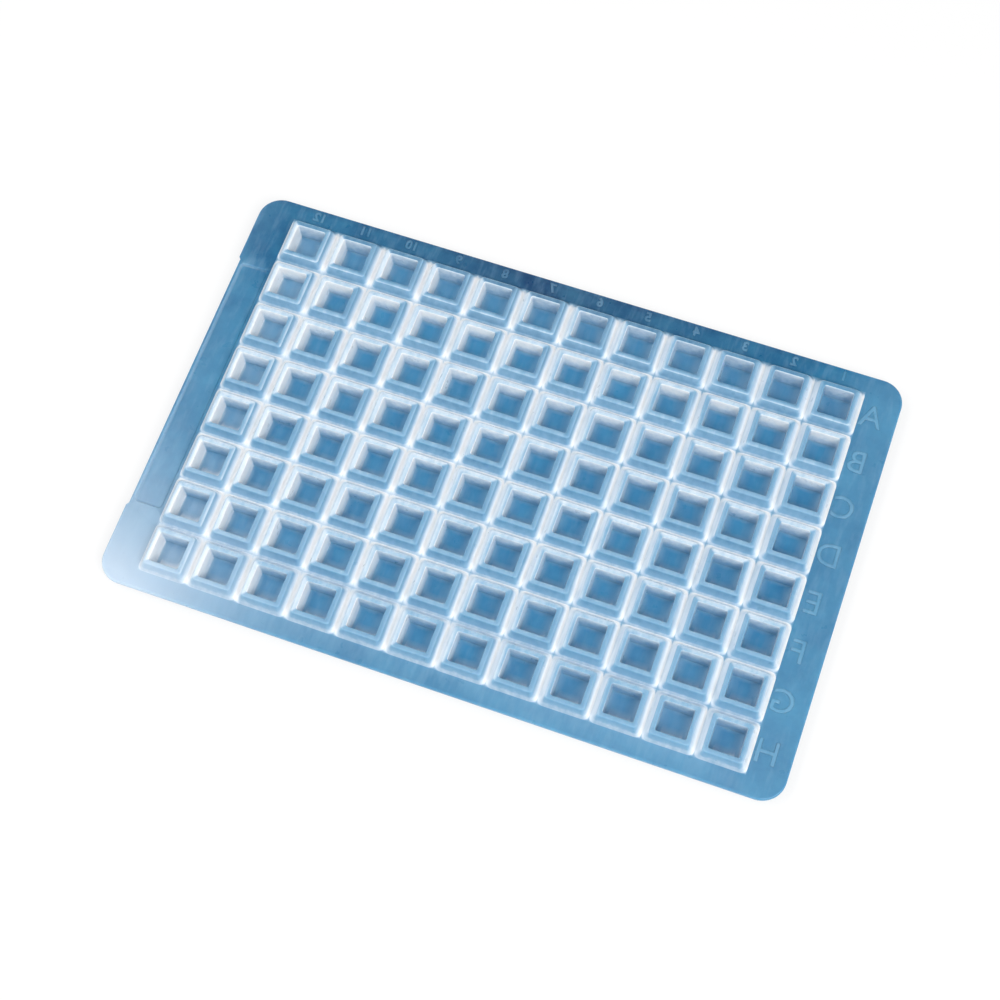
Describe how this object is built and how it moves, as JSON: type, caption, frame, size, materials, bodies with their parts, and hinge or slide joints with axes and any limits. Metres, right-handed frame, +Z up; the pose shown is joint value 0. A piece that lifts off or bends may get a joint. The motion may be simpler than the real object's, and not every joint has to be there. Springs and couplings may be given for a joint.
{
  "type": "well plate",
  "caption": "Flat translucent blue well plate: a thin flanged sheet moulded with a grid of square open wells whose sloped collars stand just above the sheet.",
  "frame": {"origin": "middle of the footprint, on the surface that the undersides of the wells stand on", "axes": "+X along the long side away from the grip, +Y along the short side, +Z up out of the open wells"},
  "size_m": [0.1212, 0.0784, 0.0047],
  "materials": {
    "plate_plastic": "translucent pale blue plastic, glossy, whiter at the thin walls and edges"
  },
  "bodies": {
    "root": {"well_plate": "plate_plastic"}
  },
  "joints": []
}
